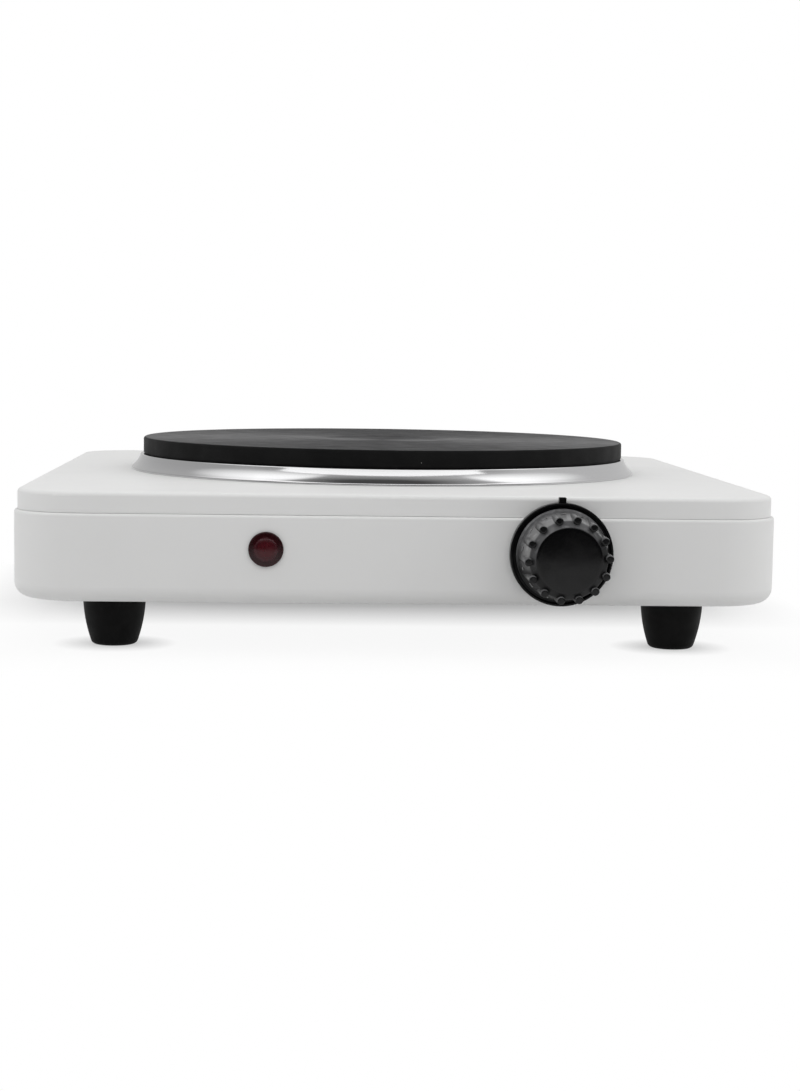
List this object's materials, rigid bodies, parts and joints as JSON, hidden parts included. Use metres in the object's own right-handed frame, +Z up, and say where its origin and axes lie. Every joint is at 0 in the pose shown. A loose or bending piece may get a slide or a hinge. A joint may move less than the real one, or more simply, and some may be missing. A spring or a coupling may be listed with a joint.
{
  "type": "single electric hot plate",
  "caption": "Single electric hot plate: white pressed-steel body on four feet, cast-iron plate in a steel trim ring, thermostat dial and indicator lamp at the front.",
  "frame": {"origin": "on the table under the middle of the object's box, which runs from the knob's face to the cord gland's nose", "axes": "+Z up, -Y out of the front with the dial and lamp, +X towards the dial side"},
  "size_m": [0.254, 0.292, 0.0652],
  "materials": {
    "white_enamel": "glossy white stove enamel",
    "black_rubber": "matt black rubber",
    "cast_iron": "black-coated cast iron, turned top",
    "polished_steel": "polished stainless steel",
    "sheet_steel": "bright rolled sheet steel",
    "zinc_plated_steel": "zinc-plated steel",
    "resistance_wire": "coiled resistance wire",
    "pressed_magnesia": "pressed magnesia powder",
    "ceramic": "unglazed steatite",
    "brass": "plain brass",
    "black_plastic": "glossy black heat-proof plastic",
    "red_lens": "clear dark red plastic",
    "natural_plastic": "uncoloured nylon",
    "bulb_glass": "clear glass",
    "brown_wire": "brown wire covering",
    "black_wire": "black wire covering",
    "blue_wire": "blue wire covering",
    "green_wire": "green wire covering",
    "grey_wire": "grey wire covering"
  },
  "bodies": {
    "body": {"base_pan": "white_enamel", "top_cover": "white_enamel", "cover_posts": "zinc_plated_steel", "foot_front_left": "black_rubber", "foot_front_right": "black_rubber", "foot_rear_left": "black_rubber", "foot_rear_right": "black_rubber", "foot_screws": "zinc_plated_steel", "foot_washers": "zinc_plated_steel", "trim_ring": "polished_steel", "hot_plate": "cast_iron", "centre_stud": "zinc_plated_steel", "heating_coil_inner": "resistance_wire", "heating_coil_outer": "resistance_wire", "magnesia_filling_inner": "pressed_magnesia", "magnesia_filling_outer": "pressed_magnesia", "plate_back_cover": "sheet_steel", "plate_terminal_pins": "zinc_plated_steel", "ceramic_beads": "ceramic", "coil_link": "brass", "back_cover_nut": "zinc_plated_steel", "clamp_bridge": "zinc_plated_steel", "bridge_washer": "zinc_plated_steel", "bridge_nut": "zinc_plated_steel", "heat_shield": "sheet_steel", "heat_shield_nut": "zinc_plated_steel", "dial_bezel": "black_plastic", "dial_screws": "zinc_plated_steel", "thermostat_bracket": "zinc_plated_steel", "spindle_bush": "brass", "insulator_rings": "ceramic", "insulating_sleeve": "ceramic", "stack_rivet": "zinc_plated_steel", "live_tag": "brass", "load_tag": "brass", "indicator_lens": "red_lens", "lamp_clip": "sheet_steel", "lamp_housing": "natural_plastic", "neon_bulb": "bulb_glass", "series_resistor": "ceramic", "cord_gland": "black_plastic", "terminal_block": "natural_plastic", "terminal_screws": "brass", "terminal_block_screw": "zinc_plated_steel", "earth_screw": "brass", "live_lead": "brown_wire", "switched_lead": "black_wire", "neutral_lead": "blue_wire", "earth_lead": "green_wire", "lamp_leads": "grey_wire", "lead_terminals": "zinc_plated_steel"},
    "dial": {"knob": "black_plastic", "knob_spring_clip": "sheet_steel", "thermostat_spindle": "brass"},
    "push_pin": {"push_pin": "ceramic"},
    "set_blade": {"set_blade": "brass"},
    "bimetal_arm": {"bimetal_strip": "zinc_plated_steel", "bimetal_stud": "ceramic", "snap_blade": "brass"}
  },
  "joints": [
    {"name": "knob_turn", "type": "hinge", "parent": "body", "child": "dial", "pos_m": [0.0525, -0.124, 0.0344], "axis": [0, 1, 0], "range_deg": [-72, 198]},
    {"name": "push_pin_slide", "type": "slide", "parent": "body", "child": "push_pin", "axis": [0, 1, 0], "range_m": [-0.0002, 0.0005]},
    {"name": "set_blade_flex", "type": "hinge", "parent": "body", "child": "set_blade", "pos_m": [0.0325, -0.10545, 0.0344], "axis": [0, 0, 1], "range_deg": [-0.5, 1.4]},
    {"name": "bimetal_bend", "type": "hinge", "parent": "body", "child": "bimetal_arm", "pos_m": [0.0325, -0.099, 0.0344], "axis": [0, 0, 1], "range_deg": [0, 2], "stiffness_Nm_per_rad": 0.01}
  ],
  "couplings": [
    {"joint": "push_pin_slide", "follows": "knob_turn", "m_per_rad": 0.000127},
    {"joint": "set_blade_flex", "follows": "knob_turn", "ratio": 0.00635}
  ]
}
